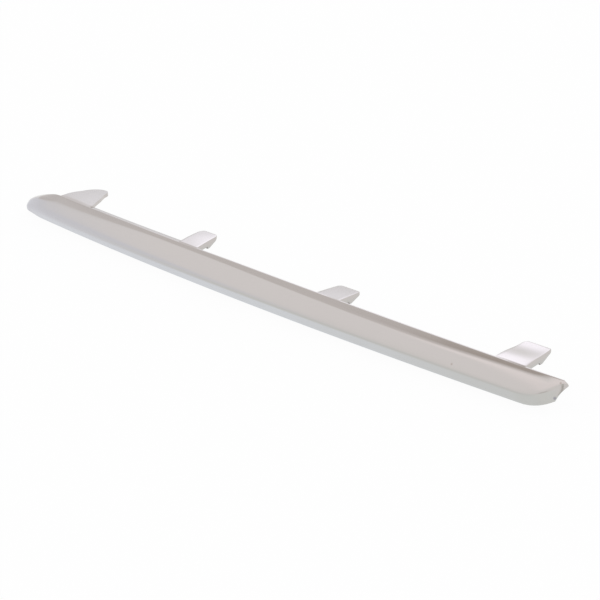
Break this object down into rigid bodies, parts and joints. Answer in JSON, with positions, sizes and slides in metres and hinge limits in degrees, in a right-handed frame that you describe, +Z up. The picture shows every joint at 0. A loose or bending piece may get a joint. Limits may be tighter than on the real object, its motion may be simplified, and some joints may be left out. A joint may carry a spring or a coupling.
{
  "type": "grille trim moulding",
  "caption": "Bowed, tapering chrome-plated grille trim bar with a bevelled face, a pointed nose, a notched square end and barbed clip tongues behind.",
  "frame": {"origin": "middle of the moulding in plan, on the surface that its foot stands on", "axes": "+X along the bar from its nose to its notched end, +Y back into the grille along the tongues, +Z up"},
  "size_m": [0.3278, 0.0242, 0.017],
  "materials": {
    "chrome_plate": "bright chrome plate on moulded ABS"
  },
  "bodies": {
    "root": {"trim_moulding": "chrome_plate"}
  },
  "joints": []
}
